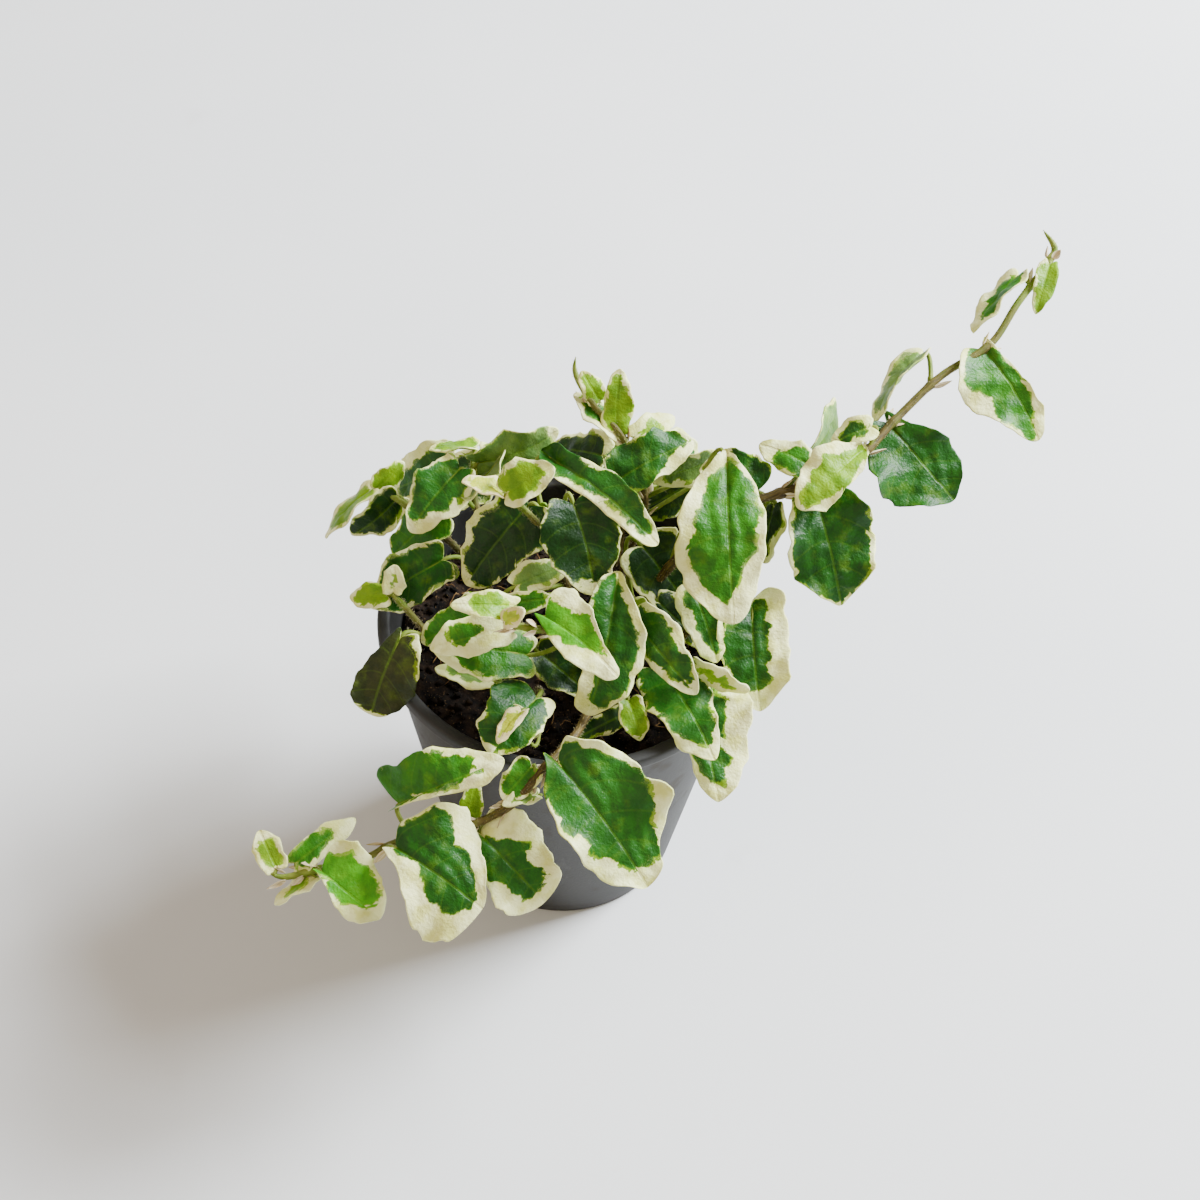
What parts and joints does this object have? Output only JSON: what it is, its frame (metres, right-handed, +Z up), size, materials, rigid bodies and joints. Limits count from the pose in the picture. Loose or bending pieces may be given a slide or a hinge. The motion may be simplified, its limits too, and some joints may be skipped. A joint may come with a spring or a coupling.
{
  "type": "potted bellus creeping fig",
  "caption": "Young variegated creeping fig with trailing leafy stems, growing in dark soil in a small round tapered nursery pot.",
  "frame": {"origin": "centre of the pot's flat underside, where it stands on the table", "axes": "+Z up; the camera of the picture looks along +Y and down, so -Y is the near side; +X is to the right, where the longest stem trails"},
  "size_m": [0.1189, 0.1059, 0.0956],
  "materials": {
    "pot": "matt moulded grey plastic",
    "soil": "loose, damp, matt",
    "foliage": "thin soft leaves, slightly glossy, green with cream edges"
  },
  "bodies": {
    "root": {"pot": "pot", "soil": "soil", "shoot_right_tendril": "foliage", "shoot_front_tendril": "foliage", "shoot_centre": "foliage", "shoot_upright": "foliage", "shoot_crown": "foliage", "shoot_back_left": "foliage", "shoot_far_left": "foliage", "shoot_left_rim": "foliage", "shoot_front_left": "foliage", "shoot_middle": "foliage", "shoot_right_side": "foliage", "shoot_back_right": "foliage", "shoot_back_middle": "foliage"}
  },
  "joints": []
}
